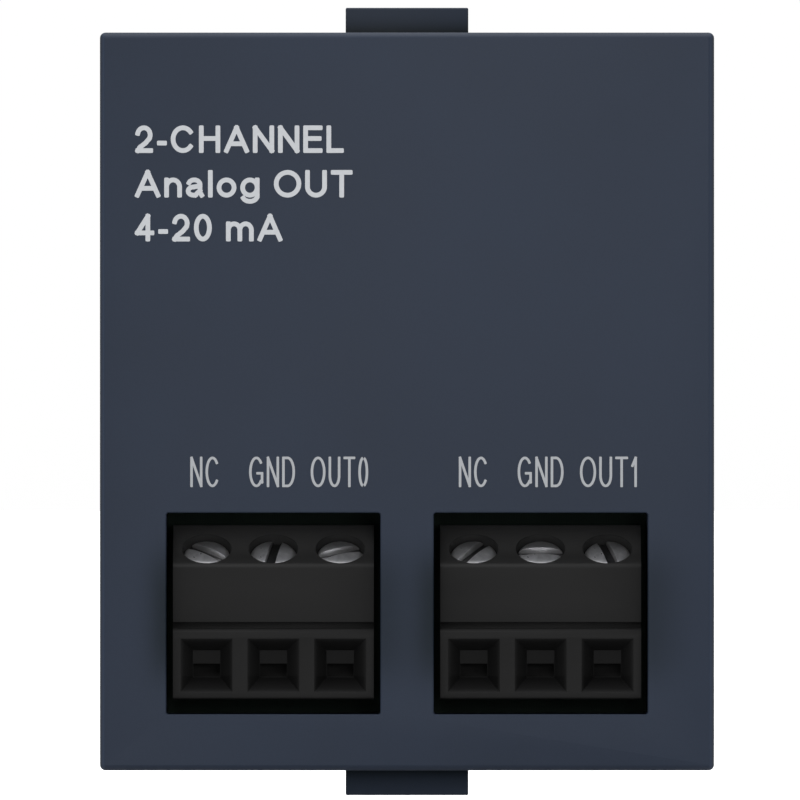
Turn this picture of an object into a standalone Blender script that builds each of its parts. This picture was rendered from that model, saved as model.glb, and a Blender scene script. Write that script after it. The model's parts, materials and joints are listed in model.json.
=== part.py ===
"""A plug-in analog-output module for a small controller, 35 x 42 mm, front towards -Y and top towards +Z.

The origin is the middle of the rear seating face. All driving dimensions below are in millimetres.
"""

import math

import bmesh
import bpy
from mathutils import Matrix, Vector

MM = 0.001

# Housing
BODY_W = 35.0
BODY_H = 42.05
FRONT_Y = -13.0
SEAM_Y = -1.68
WALL = 1.2
FRONT_WALL = 1.3
CORNER_R = 0.45
FRONT_EDGE_R = 0.38
REAR_PLATE = 1.6
LIP_DEPTH = 1.1
LIP_WALL = 1.0
FIT = 0.1

# Windows and terminal blocks
PITCH = 3.81
BLOCK_X = 2 * PITCH
WINDOW_W = 12.2
WINDOW_TOP = -6.34
WINDOW_BOTTOM = -17.83
SKIRT_WALL = 0.8
SKIRT_END_Y = -4.8
BLOCK_W = 11.46
BLOCK_TOP = -7.07
BLOCK_BOTTOM = -16.98
BLOCK_FACE_Y = -11.9
BLOCK_LOWER_Y = -12.3
BLOCK_BACK_Y = -4.5
GROOVE_TOP = -12.6
GROOVE_BOTTOM = -12.93
GROOVE_DEPTH = 0.6
SCREW_TILT = math.radians(35)
SLANT_END_Z = -9.28
SCREW_Z = -8.4

# One pole, measured in its own frame: x across, y the way a wire goes in, z out along the screw
HEAD_R = 1.285
HEAD_HOLE_R = 1.41
HEAD_TOP = -0.12
HEAD_H = 1.0
SHANK_R = 0.975
THREAD_HOLE_R = 1.09
SCREW_TIP = -3.42
CAGE_W = 2.9
CAGE_DEPTH = 2.3
CAGE_H = 3.4
CAGE_TOP = -2.7
CAGE_ROOF = 0.7
CAGE_FLOOR = 0.6
CAGE_SIDE = 0.45
CAGE_TRAVEL = 1.2
BAR_W = 1.7
BAR_T = 0.5
BAR_TOP = -3.5
BAR_REACH = 2.2
TAIL_W = 0.9
TAIL_T = 0.6
TAIL_END_Y = -2.15
FUNNEL_W = 2.96
FUNNEL_H = 3.05
THROAT_W = 1.57
THROAT_H = 1.54
FUNNEL_DEPTH = 1.1
FUNNEL_Z = -15.06
THROAT_Z = -14.96
LIP_T = 0.35
LIP_END_Z = -14.95
ENTRY_ROOF_Z = -14.1
ENTRY_BACK_Y = -9.5
WIRE_WAY_START = -3.1
SLOT_W = 0.6
SLOT_DEPTH = 0.5
SLOT_ANGLES = (-35, 79, 19, 52, 0, 107)

# Latches
LATCH_W = 7.03
LATCH_GAP = 0.25
LATCH_T = 1.1
LATCH_AXIS_Y = -10.2
LATCH_AXIS_Z = 20.45
LATCH_END_Y = -0.7
LATCH_TIP_RISE = 0.45
CATCH_Y = -3.6
CATCH_TOP_Z = 22.57
LATCH_ROOM_Z = 18.2

# Board and the connector behind it
BOARD_W = 31.6
BOARD_H = 38.6
BOARD_FRONT_Y = -4.4
BOARD_BACK_Y = -2.8
PLUG_Z = 9.5
PLUG_W = 11.8
PLUG_H = 6.2
PLUG_WALL = 0.85
PLUG_END_Y = 3.6
PLUG_FLOOR_Y = -0.7
PIN_PITCH = 2.0
PIN_SIDE = 0.5
PIN_END_Y = 2.8

for old in list(bpy.data.objects):
    bpy.data.objects.remove(old, do_unlink=True)

SCENE = bpy.context.scene
CUTTERS = bpy.data.collections.new("cutters")
CUTTERS.hide_render = True
SCENE.collection.children.link(CUTTERS)


def colour(obj, rgb, roughness, metallic=0.0):
    """Gives the object its own plain material."""
    material = bpy.data.materials.new(obj.name + "_look")
    material.use_nodes = True
    shader = material.node_tree.nodes["Principled BSDF"]
    shader.inputs["Base Color"].default_value = (*rgb, 1.0)
    shader.inputs["Roughness"].default_value = roughness
    shader.inputs["Metallic"].default_value = metallic
    obj.data.materials.clear()
    obj.data.materials.append(material)
    return obj


def placed(name, mesh, frame=None, cutter=False):
    """Puts a bmesh built in millimetres into the scene, in the given frame."""
    bmesh.ops.recalc_face_normals(mesh, faces=mesh.faces)
    bmesh.ops.scale(mesh, vec=(MM, MM, MM), verts=mesh.verts)
    data = bpy.data.meshes.new(name)
    mesh.to_mesh(data)
    mesh.free()
    obj = bpy.data.objects.new(name, data)
    if cutter:
        CUTTERS.objects.link(obj)
        obj.display_type = "WIRE"
        obj.hide_render = True
    else:
        SCENE.collection.objects.link(obj)
    if frame is not None:
        obj.matrix_world = frame
    return obj


def frame_at(x, y, z, tilt=0.0, spin=0.0):
    """A frame at a point in millimetres, tilted about X and then spun about its own Z."""
    return (
        Matrix.Translation(Vector((x, y, z)) * MM)
        @ Matrix.Rotation(tilt, 4, "X")
        @ Matrix.Rotation(spin, 4, "Z")
    )


def box(name, x, y, z, frame=None, cutter=False):
    """A box from three (low, high) spans."""
    mesh = bmesh.new()
    bmesh.ops.create_cube(mesh, size=1.0)
    size = [span[1] - span[0] for span in (x, y, z)]
    middle = [(span[1] + span[0]) / 2 for span in (x, y, z)]
    bmesh.ops.scale(mesh, vec=size, verts=mesh.verts)
    bmesh.ops.translate(mesh, vec=middle, verts=mesh.verts)
    return placed(name, mesh, frame, cutter)


def prism(name, outline, axis, span, frame=None, cutter=False):
    """An outline pushed along an axis. Its two numbers are the other two axes, in order."""
    others = [i for i in range(3) if i != axis]
    mesh = bmesh.new()
    corners = []
    for first, second in outline:
        point = [0.0, 0.0, 0.0]
        point[axis] = span[0]
        point[others[0]] = first
        point[others[1]] = second
        corners.append(mesh.verts.new(point))
    face = mesh.faces.new(corners)
    pushed = bmesh.ops.extrude_face_region(mesh, geom=[face])["geom"]
    way = [0.0, 0.0, 0.0]
    way[axis] = span[1] - span[0]
    bmesh.ops.translate(mesh, vec=way, verts=[g for g in pushed if isinstance(g, bmesh.types.BMVert)])
    return placed(name, mesh, frame, cutter)


def rounded(corners, steps=3):
    """An outline from (a, b, radius) corners, each rounded by an arc of its radius."""
    outline = []
    for i, (a, b, radius) in enumerate(corners):
        here = Vector((a, b))
        if radius == 0:
            outline.append((a, b))
            continue
        back = (Vector(corners[i - 1][:2]) - here).normalized()
        on = (Vector(corners[(i + 1) % len(corners)][:2]) - here).normalized()
        half = back.angle(on) / 2
        centre = here + (back + on).normalized() * (radius / math.sin(half))
        start = here + back * (radius / math.tan(half)) - centre
        end = here + on * (radius / math.tan(half)) - centre
        turn = math.atan2(start.x * end.y - start.y * end.x, start.dot(end))
        for k in range(steps + 1):
            angle = turn * k / steps
            outline.append(
                (
                    centre.x + start.x * math.cos(angle) - start.y * math.sin(angle),
                    centre.y + start.x * math.sin(angle) + start.y * math.cos(angle),
                )
            )
    return outline


def oblong(width, height, radius, z=0.0, x=0.0):
    """Corners of a rounded rectangle in X and Z."""
    w, h = width / 2, height / 2
    return [
        (x - w, z - h, radius),
        (x + w, z - h, radius),
        (x + w, z + h, radius),
        (x - w, z + h, radius),
    ]


def cylinder(name, radius, z, segments, frame=None, cutter=False):
    """A cylinder about Z from one height to the other."""
    mesh = bmesh.new()
    bmesh.ops.create_cone(
        mesh, cap_ends=True, segments=segments, radius1=radius, radius2=radius, depth=z[1] - z[0]
    )
    bmesh.ops.translate(mesh, vec=(0, 0, (z[0] + z[1]) / 2), verts=mesh.verts)
    return placed(name, mesh, frame, cutter)


def taper(name, near, far, y, z, x=0.0, cutter=True):
    """A box whose width and height change along Y: near and far are (width, height)."""
    mesh = bmesh.new()
    bmesh.ops.create_cube(mesh, size=1.0)
    for vert in mesh.verts:
        side = 0 if vert.co.y < 0 else 1
        width, height = (near, far)[side]
        vert.co = (x + vert.co.x * width, y[side], z[side] + vert.co.z * height)
    return placed(name, mesh, None, cutter)


def boolean(obj, other, operation="DIFFERENCE"):
    """Cuts or joins with an exact Boolean."""
    change = obj.modifiers.new(operation.lower(), "BOOLEAN")
    change.object = other
    change.operation = operation
    change.solver = "EXACT"
    return obj


def smooth(obj, degrees=35):
    """Shades round faces smooth and keeps the real edges sharp."""
    for face in obj.data.polygons:
        face.use_smooth = True
    obj.data.set_sharp_from_angle(angle=math.radians(degrees))
    return obj


BLUE_GREY = (0.038, 0.046, 0.066)
BLACK = (0.012, 0.012, 0.013)
STEEL = (0.55, 0.55, 0.55)
TIN = (0.62, 0.62, 0.6)
BOARD_GREEN = (0.006, 0.02, 0.012)
CHIP = (0.02, 0.02, 0.022)


def oblong_outline(width, height, radius, x):
    """The outline of a window, or of the skirt around it."""
    return rounded(oblong(width, height, radius, (WINDOW_TOP + WINDOW_BOTTOM) / 2, x), 2)


# Front housing: a rounded block, hollowed from behind, with two windows and two latch slots.
front = prism("front_cover", rounded(oblong(BODY_W, BODY_H, CORNER_R)), 1, (FRONT_Y, SEAM_Y))
edge = front.modifiers.new("front edge", "BEVEL")
edge.width = FRONT_EDGE_R * MM
edge.segments = 3
edge.limit_method = "WEIGHT"
weights = front.data.attributes.new("bevel_weight_edge", "FLOAT", "EDGE")
for side in front.data.edges:
    ends = [front.data.vertices[i].co.y for i in side.vertices]
    weights.data[side.index].value = 1.0 if max(ends) < (FRONT_Y + 0.01) * MM else 0.0
INNER_W = BODY_W - 2 * WALL
INNER_H = BODY_H - 2 * WALL
boolean(
    front,
    prism(
        "cut_inside",
        rounded(oblong(INNER_W, INNER_H, 0.3), 2),
        1,
        (FRONT_Y + FRONT_WALL, 1.0),
        cutter=True,
    ),
)
WINDOW_H = WINDOW_TOP - WINDOW_BOTTOM
for sign in (-1, 1):
    skirt = prism(
        f"join_skirt_{sign}",
        oblong_outline(WINDOW_W + 2 * SKIRT_WALL, WINDOW_H + 2 * SKIRT_WALL, 0.5, sign * BLOCK_X),
        1,
        (FRONT_Y + FRONT_WALL / 2, SKIRT_END_Y),
        cutter=True,
    )
    boolean(front, skirt, "UNION")
for sign in (-1, 1):
    window = prism(
        f"cut_window_{sign}",
        oblong_outline(WINDOW_W, WINDOW_H, 0.25, sign * BLOCK_X),
        1,
        (FRONT_Y - 1, SKIRT_END_Y + 1),
        cutter=True,
    )
    boolean(front, window)
SLOT_HALF = LATCH_W / 2 + LATCH_GAP
for sign in (-1, 1):
    slot = box(
        f"cut_latch_slot_{sign}",
        (-SLOT_HALF, SLOT_HALF),
        (LATCH_AXIS_Y - LATCH_T / 2 - FIT, 1.0),
        sorted((sign * (BODY_H / 2 - WALL - 0.5), sign * (BODY_H / 2 + 1))),
        cutter=True,
    )
    boolean(front, slot)
smooth(colour(front, BLUE_GREY, 0.55))


# Rear cover: a plate with a lip that locates inside the front housing.
rear = prism("rear_cover", rounded(oblong(BODY_W, BODY_H, CORNER_R)), 1, (-REAR_PLATE, 0.0))
LIP_W = INNER_W - 2 * FIT
LIP_H = INNER_H - 2 * FIT
lip = prism(
    "join_lip",
    rounded(oblong(LIP_W, LIP_H, 0.25), 2),
    1,
    (-REAR_PLATE - LIP_DEPTH, -REAR_PLATE + 0.5),
    cutter=True,
)
boolean(rear, lip, "UNION")
boolean(
    rear,
    box(
        "cut_lip",
        (-LIP_W / 2 + LIP_WALL, LIP_W / 2 - LIP_WALL),
        (-REAR_PLATE - LIP_DEPTH - 1, -REAR_PLATE),
        (-LIP_H / 2 + LIP_WALL, LIP_H / 2 - LIP_WALL),
        cutter=True,
    ),
)
for sign in (-1, 1):
    notch = box(
        f"cut_rear_notch_{sign}",
        (-SLOT_HALF, SLOT_HALF),
        (-5.0, 1.0),
        sorted((sign * LATCH_ROOM_Z, sign * (BODY_H / 2 + 1))),
        cutter=True,
    )
    boolean(rear, notch)
boolean(
    rear,
    box(
        "cut_plug_opening",
        (-PLUG_W / 2 - 0.2, PLUG_W / 2 + 0.2),
        (-5.0, 1.0),
        (PLUG_Z - PLUG_H / 2 - 0.2, PLUG_Z + PLUG_H / 2 + 0.2),
        cutter=True,
    ),
)
smooth(colour(rear, BLUE_GREY, 0.6))


# Latches: a snap arm with a rounded root on its hinge line and a catch tab near its free end.
def latch(name, sign):
    """Makes one snap arm with its origin on its hinge line. Sign is 1 for the top one."""
    base_y = LATCH_AXIS_Y
    half = LATCH_T / 2
    outline = rounded(
        [
            (-half, -half, half * 0.99),
            (CATCH_Y - base_y, -half, 0.3),
            (LATCH_END_Y - base_y, -half + LATCH_TIP_RISE, 0.15),
            (LATCH_END_Y - base_y, half - 0.15, 0.15),
            (CATCH_Y + 0.85 - base_y, CATCH_TOP_Z - LATCH_AXIS_Z, 0.2),
            (CATCH_Y - base_y, CATCH_TOP_Z - LATCH_AXIS_Z, 0.12),
            (CATCH_Y - base_y, half, 0.12),
            (-half, half, half * 0.99),
        ],
        3,
    )
    outline = [(y, sign * z) for y, z in outline]
    frame = frame_at(0, base_y, sign * LATCH_AXIS_Z)
    arm = prism(name, outline, 0, (-LATCH_W / 2, LATCH_W / 2), frame)
    return smooth(colour(arm, BLUE_GREY, 0.55))


latch("top_latch", 1)
latch("bottom_latch", -1)


# Terminal blocks
TILT_TAN = math.tan(math.pi / 2 - SCREW_TILT)
SLANT_TOP_Y = BLOCK_FACE_Y + (BLOCK_TOP - SLANT_END_Z) * TILT_TAN
SCREW_Y = BLOCK_FACE_Y + (SCREW_Z - SLANT_END_Z) * TILT_TAN
BLOCK_OUTLINE = rounded(
    [
        (BLOCK_BACK_Y, BLOCK_TOP, 0),
        (SLANT_TOP_Y, BLOCK_TOP, 0.12),
        (BLOCK_FACE_Y, SLANT_END_Z, 0.3),
        (BLOCK_FACE_Y, GROOVE_TOP, 0),
        (BLOCK_FACE_Y + GROOVE_DEPTH, GROOVE_TOP, 0),
        (BLOCK_FACE_Y + GROOVE_DEPTH, GROOVE_BOTTOM, 0),
        (BLOCK_LOWER_Y, GROOVE_BOTTOM, 0.2),
        (BLOCK_LOWER_Y, BLOCK_BOTTOM, 0.15),
        (BLOCK_BACK_Y, BLOCK_BOTTOM, 0),
    ],
    2,
)


def pole_frame(x, spin=0.0):
    """The frame of one pole, at the middle of its screw hole on the slanted face."""
    return frame_at(x, SCREW_Y, SCREW_Z, SCREW_TILT, spin)


def grown(value, amount):
    """A span about zero, wider by the amount on each side."""
    return (-value / 2 - amount, value / 2 + amount)


WIRE_MID = BAR_TOP - BAR_T - 0.85
THROAT_Y = BLOCK_LOWER_Y + FUNNEL_DEPTH
BAR_MID = BAR_TOP - BAR_T / 2
TILT_COS = math.cos(SCREW_TILT)
TILT_SIN = math.sin(SCREW_TILT)
TAIL_START_Y = SCREW_Y + BAR_REACH * TILT_COS - BAR_MID * TILT_SIN
TAIL_Z = SCREW_Z + BAR_REACH * TILT_SIN + BAR_MID * TILT_COS


def cut_pole(block, x, label):
    """Cuts the screw hole, the cage pocket, the wire way under its lip, the funnel and the bar's way out."""
    frame = pole_frame(x)
    tools = [
        cylinder(f"cut_head_{label}", HEAD_HOLE_R, (HEAD_TOP - HEAD_H - 0.08, 2.0), 32, frame, True),
        cylinder(f"cut_neck_{label}", THREAD_HOLE_R, (-2.0, 0.0), 24, frame, True),
        box(
            f"cut_pocket_{label}",
            grown(CAGE_W, 0.1),
            grown(CAGE_DEPTH, 0.12),
            (CAGE_TOP - CAGE_H - 0.1, CAGE_TOP + CAGE_TRAVEL + 0.1),
            frame,
            True,
        ),
        box(
            f"cut_wire_way_{label}",
            grown(THROAT_W, 0.06),
            (WIRE_WAY_START, 0.0),
            (WIRE_MID - 0.75, WIRE_MID + 0.75),
            frame,
            True,
        ),
        box(
            f"cut_entry_{label}",
            (x - THROAT_W / 2 + 0.02, x + THROAT_W / 2 - 0.02),
            (THROAT_Y - 0.1, ENTRY_BACK_Y - 0.2),
            (THROAT_Z - THROAT_H / 2 + 0.02, LIP_END_Z),
            None,
            True,
        ),
        box(
            f"cut_behind_lip_{label}",
            (x - THROAT_W / 2 - 0.1, x + THROAT_W / 2 + 0.1),
            (THROAT_Y + LIP_T, ENTRY_BACK_Y),
            (THROAT_Z - THROAT_H / 2 - 0.05, ENTRY_ROOF_Z),
            None,
            True,
        ),
        box(
            f"cut_bar_way_{label}",
            grown(BAR_W, 0.13),
            (0.5, BAR_REACH + 0.6),
            (BAR_MID - BAR_T / 2 - 0.13, BAR_MID + BAR_T / 2 + 0.13),
            frame,
            True,
        ),
        box(
            f"cut_tail_way_{label}",
            grown(BAR_W, 0.2),
            (TAIL_START_Y - 0.6, BLOCK_BACK_Y + 1.0),
            (TAIL_Z - 0.55, TAIL_Z + 0.62),
            frame_at(x, 0, 0),
            True,
        ),
        taper(
            f"cut_funnel_{label}",
            (FUNNEL_W + (FUNNEL_W - THROAT_W) * 0.2, FUNNEL_H + (FUNNEL_H - THROAT_H) * 0.2),
            (THROAT_W, THROAT_H),
            (BLOCK_LOWER_Y - FUNNEL_DEPTH * 0.2, THROAT_Y),
            (FUNNEL_Z, THROAT_Z),
            x,
        ),
    ]
    for tool in tools:
        boolean(block, tool)


def terminal_block(name, centre):
    """One 3-way block."""
    span = (centre - BLOCK_W / 2, centre + BLOCK_W / 2)
    block = prism(name, BLOCK_OUTLINE, 0, span)
    for k in (-1, 0, 1):
        cut_pole(block, centre + k * PITCH, f"{name}_{k}")
    return colour(block, BLACK, 0.4)


terminal_block("terminal_block_left", -BLOCK_X)
terminal_block("terminal_block_right", BLOCK_X)


# The moving parts and the current bar of each pole
def terminal_screw(name, x, angle):
    """A slotted screw about its own Z, with its origin at the middle of its hole."""
    top = HEAD_TOP
    under = HEAD_TOP - HEAD_H
    profile = [
        (0.0, top),
        (HEAD_R - 0.15, top),
        (HEAD_R, top - 0.12),
        (HEAD_R, under),
        (SHANK_R, under),
        (SHANK_R, SCREW_TIP + 0.25),
        (SHANK_R - 0.25, SCREW_TIP),
        (0.0, SCREW_TIP),
    ]
    data = bpy.data.meshes.new(name)
    points = [(r * MM, 0.0, z * MM) for r, z in profile]
    data.from_pydata(points, [(i, i + 1) for i in range(len(points) - 1)], [])
    screw = bpy.data.objects.new(name, data)
    SCENE.collection.objects.link(screw)
    screw.matrix_world = pole_frame(x)
    turn = screw.modifiers.new("turn", "SCREW")
    turn.steps = 28
    turn.render_steps = 28
    turn.use_merge_vertices = True
    turn.merge_threshold = 0.00001
    turn.use_smooth_shade = True
    slot = box(
        f"cut_slot_{name}",
        (-2.0, 2.0),
        (-SLOT_W / 2, SLOT_W / 2),
        (HEAD_TOP - SLOT_DEPTH, 1.0),
        pole_frame(x, math.radians(angle)),
        True,
    )
    boolean(screw, slot)
    return colour(screw, STEEL, 0.35, 1.0)


def clamp_cage(name, x):
    """A rectangular ring, open along the wire, with a threaded hole in its roof."""
    low = CAGE_TOP - CAGE_H
    outline = rounded(
        [
            (-CAGE_W / 2, low, 0.3),
            (CAGE_W / 2, low, 0.3),
            (CAGE_W / 2, CAGE_TOP, 0.3),
            (-CAGE_W / 2, CAGE_TOP, 0.3),
        ],
        2,
    )
    frame = pole_frame(x)
    cage = prism(name, outline, 1, (-CAGE_DEPTH / 2, CAGE_DEPTH / 2), frame)
    hollow = box(
        f"cut_{name}",
        grown(CAGE_W, -CAGE_SIDE),
        (-3.0, 3.0),
        (low + CAGE_FLOOR, CAGE_TOP - CAGE_ROOF),
        frame,
        True,
    )
    boolean(cage, hollow)
    hole = cylinder(f"cut_thread_{name}", THREAD_HOLE_R, (CAGE_TOP - 1.2, CAGE_TOP + 1), 24, frame, True)
    boolean(cage, hole)
    return colour(cage, TIN, 0.3, 1.0)


def contact_bar(name, x):
    """A flat bar through the cage, with a square tail that goes back through the board."""
    frame = pole_frame(x)
    bar = box(name, grown(BAR_W, 0), (-1.1, BAR_REACH), (BAR_TOP - BAR_T, BAR_TOP), frame)
    tail = box(
        f"join_{name}",
        grown(TAIL_W, 0),
        (TAIL_START_Y - 0.25, TAIL_END_Y),
        (TAIL_Z - TAIL_T / 2, TAIL_Z + TAIL_T / 2),
        frame_at(x, 0, 0),
        True,
    )
    boolean(bar, tail, "UNION")
    return colour(bar, TIN, 0.3, 1.0)


POLE_X = [side * BLOCK_X + k * PITCH for side in (-1, 1) for k in (-1, 0, 1)]
for number, (pole_x, angle) in enumerate(zip(POLE_X, SLOT_ANGLES), 1):
    terminal_screw(f"terminal_screw_{number}", pole_x, angle)
    clamp_cage(f"clamp_cage_{number}", pole_x)
    contact_bar(f"contact_bar_{number}", pole_x)


# Connector to the host: a shrouded header with two rows of five pins.
plug = prism(
    "host_connector",
    rounded(oblong(PLUG_W, PLUG_H, 0.3, PLUG_Z), 2),
    1,
    (BOARD_BACK_Y + FIT, PLUG_END_Y),
)
boolean(
    plug,
    prism(
        "cut_plug_hollow",
        rounded(oblong(PLUG_W - 2 * PLUG_WALL, PLUG_H - 2 * PLUG_WALL, 0.2, PLUG_Z), 2),
        1,
        (PLUG_FLOOR_Y, PLUG_END_Y + 1),
        cutter=True,
    ),
)
boolean(
    plug,
    box(
        "cut_plug_key",
        (-1.2, 1.2),
        (0.6, PLUG_END_Y + 1),
        (PLUG_Z + PLUG_H / 2 - PLUG_WALL - 0.3, PLUG_Z + PLUG_H / 2 + 0.5),
        cutter=True,
    ),
)
colour(plug, BLACK, 0.45)

board = prism("circuit_board", rounded(oblong(BOARD_W, BOARD_H, 0.6), 2), 1, (BOARD_FRONT_Y, BOARD_BACK_Y))
for sign in (-1, 1):
    notch = box(
        f"cut_board_notch_{sign}",
        (-SLOT_HALF - 0.3, SLOT_HALF + 0.3),
        (-6.0, -1.0),
        sorted((sign * LATCH_ROOM_Z, sign * (BOARD_H / 2 + 1))),
        cutter=True,
    )
    boolean(board, notch)
colour(board, BOARD_GREEN, 0.5)

PINS = [
    ((k - 2) * PIN_PITCH, PLUG_Z + row * PIN_PITCH / 2) for row in (-1, 1) for k in range(5)
]
for number, (x, z) in enumerate(PINS, 1):
    half = PIN_SIDE / 2
    pin = box(
        f"host_pin_{number:02d}",
        (x - half, x + half),
        (BOARD_FRONT_Y - 0.6, PIN_END_Y),
        (z - half, z + half),
    )
    tip = pin.modifiers.new("tip", "BEVEL")
    tip.width = 0.1 * MM
    tip.segments = 1
    tip.limit_method = "ANGLE"
    colour(pin, (0.75, 0.55, 0.2), 0.3, 1.0)
    way = box(
        f"cut_pin_{number:02d}",
        (x - half - 0.1, x + half + 0.1),
        (-6.0, PLUG_FLOOR_Y + 1.0),
        (z - half - 0.1, z + half + 0.1),
        cutter=True,
    )
    boolean(plug, way)
    boolean(board, way)
for number, pole_x in enumerate(POLE_X, 1):
    way = box(
        f"cut_tail_{number}",
        (pole_x - TAIL_W / 2 - 0.1, pole_x + TAIL_W / 2 + 0.1),
        (-6.0, -1.0),
        (TAIL_Z - TAIL_T / 2 - 0.1, TAIL_Z + TAIL_T / 2 + 0.1),
        cutter=True,
    )
    boolean(board, way)


# Parts on the board: name, x, z, width, height, depth off the board, edge radius, colour
BOARD_PARTS = (
    ("transformer", -9.6, 12.6, 9.0, 8.2, 4.6, 0.4, (0.03, 0.028, 0.025)),
    ("digital_isolator", 9.4, 12.8, 7.5, 10.3, 2.35, 0.2, CHIP),
    ("converter_chip", -3.2, 1.4, 4.4, 5.0, 1.1, 0.12, CHIP),
    ("output_amplifier_1", -10.4, -1.2, 4.9, 3.9, 1.6, 0.15, CHIP),
    ("output_amplifier_2", 10.4, -1.2, 4.9, 3.9, 1.6, 0.15, CHIP),
    ("regulator_chip", 5.0, 2.6, 3.0, 3.0, 1.3, 0.12, CHIP),
    ("power_inductor", -9.6, 4.8, 4.0, 4.0, 2.0, 0.5, (0.05, 0.05, 0.055)),
    ("tantalum_capacitor_1", 0.2, -3.7, 3.5, 2.8, 1.9, 0.15, (0.45, 0.27, 0.04)),
    ("tantalum_capacitor_2", 11.6, 4.2, 2.8, 3.5, 1.9, 0.15, (0.45, 0.27, 0.04)),
)
for name, x, z, width, height, depth, radius, rgb in BOARD_PARTS:
    top = BOARD_FRONT_Y - 0.1
    package = prism(name, rounded(oblong(width, height, radius, z, x), 2), 1, (top - depth, top))
    colour(package, rgb, 0.5)
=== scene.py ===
"""The looks of a plug-in analog-output module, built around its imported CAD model.

Lengths below are in millimetres in the shared frame: front towards -Y, top towards +Z, rear seat at Y = 0.
"""

import json
import math

import bmesh
import bpy
from mathutils import Matrix, Vector
from mathutils.geometry import delaunay_2d_cdt


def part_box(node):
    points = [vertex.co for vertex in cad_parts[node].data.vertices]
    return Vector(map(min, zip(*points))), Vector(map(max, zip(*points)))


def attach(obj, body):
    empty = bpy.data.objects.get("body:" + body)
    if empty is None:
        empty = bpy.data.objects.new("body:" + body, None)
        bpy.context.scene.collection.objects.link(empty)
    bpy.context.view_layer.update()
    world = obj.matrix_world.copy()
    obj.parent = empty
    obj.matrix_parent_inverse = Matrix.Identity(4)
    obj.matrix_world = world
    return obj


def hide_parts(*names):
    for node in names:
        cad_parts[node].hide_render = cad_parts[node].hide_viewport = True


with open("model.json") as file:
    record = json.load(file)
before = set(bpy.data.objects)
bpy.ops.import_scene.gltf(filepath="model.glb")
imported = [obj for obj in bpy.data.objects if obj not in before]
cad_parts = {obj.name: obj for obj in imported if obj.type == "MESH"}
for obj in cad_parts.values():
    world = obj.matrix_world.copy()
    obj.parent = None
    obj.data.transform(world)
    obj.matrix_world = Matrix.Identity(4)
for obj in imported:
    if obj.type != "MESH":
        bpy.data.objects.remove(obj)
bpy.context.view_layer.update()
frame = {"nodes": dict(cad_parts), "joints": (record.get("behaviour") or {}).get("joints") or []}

MM = 0.001


def span_of(node):
    """The lowest and highest corners of a CAD node, in millimetres."""
    low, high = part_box(node)
    return low / MM, high / MM


def sizes_of(node):
    """A CAD node's lowest and highest corners, its middle in X and in Z, its width and its height."""
    low, high = span_of(node)
    return low, high, (low.x + high.x) / 2, (low.z + high.z) / 2, high.x - low.x, high.z - low.z


# Sizes read from the frame
COVER_LOW, COVER_HIGH = span_of("front_cover")
REAR_LOW = span_of("rear_cover")[0]
LEFT_LOW, LEFT_HIGH = span_of("terminal_block_left")
RIGHT_LOW = span_of("terminal_block_right")[0]
LATCH_LOW, LATCH_HIGH = span_of("top_latch")
BOARD_LOW, BOARD_HIGH = span_of("circuit_board")
FRONT_Y = COVER_LOW.y
BODY_W = COVER_HIGH.x - COVER_LOW.x
BODY_H = COVER_HIGH.z - COVER_LOW.z
BLOCK_W = LEFT_HIGH.x - LEFT_LOW.x
BLOCK_X = RIGHT_LOW.x + BLOCK_W / 2
JOINTS = {joint["name"]: joint for joint in frame["joints"]}
SCREW_JOINTS = [JOINTS[f"screw_{number}_turn"] for number in range(1, 7)]
SCREW_Y = SCREW_JOINTS[0]["pos_m"][1] / MM
SCREW_Z = SCREW_JOINTS[0]["pos_m"][2] / MM
SCREW_TILT = math.atan2(SCREW_JOINTS[0]["axis"][1], -SCREW_JOINTS[0]["axis"][2])
POLE_X = [joint["pos_m"][0] / MM for joint in SCREW_JOINTS]
PITCH = POLE_X[1] - POLE_X[0]
BAR_REACH = 2.2
BAR_MID = -3.75
TAIL_Z = SCREW_Z + BAR_REACH * math.sin(SCREW_TILT) + BAR_MID * math.cos(SCREW_TILT)

# Housing
WALL = 1.2
FRONT_WALL = 1.3
CORNER_R = 0.32
FRONT_EDGE_R = 0.45
SEAM_SHARE = 0.32
WINDOW_W = 12.2
WINDOW_TOP = -6.34
WINDOW_BOTTOM = -17.83
WINDOW_H = WINDOW_TOP - WINDOW_BOTTOM
WINDOW_Z = (WINDOW_TOP + WINDOW_BOTTOM) / 2
SKIRT_WALL = 0.8
SKIRT_END_Y = -4.8
LATCH_W = LATCH_HIGH.x - LATCH_LOW.x
LATCH_T = 1.1
LATCH_AXIS_Y = JOINTS["top_latch_flex"]["pos_m"][1] / MM
LATCH_AXIS_Z = JOINTS["top_latch_flex"]["pos_m"][2] / MM
CATCH_Y = -3.6
SLOT_HALF = LATCH_W / 2 + 0.25
LATCH_ROOM_Z = 18.2
LATCH_TIP_RISE = 0.45
REAR_PLATE = 1.6
LIP_WALL = 1.0
PANEL_W = 23.0
PANEL_H = 11.2
PANEL_Z = -8.6
MARK_X = 13.6
MARK_Z = (-17.3, 16.6)
MARK_R = 1.15
SEAT_INSET = 0.9

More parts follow.
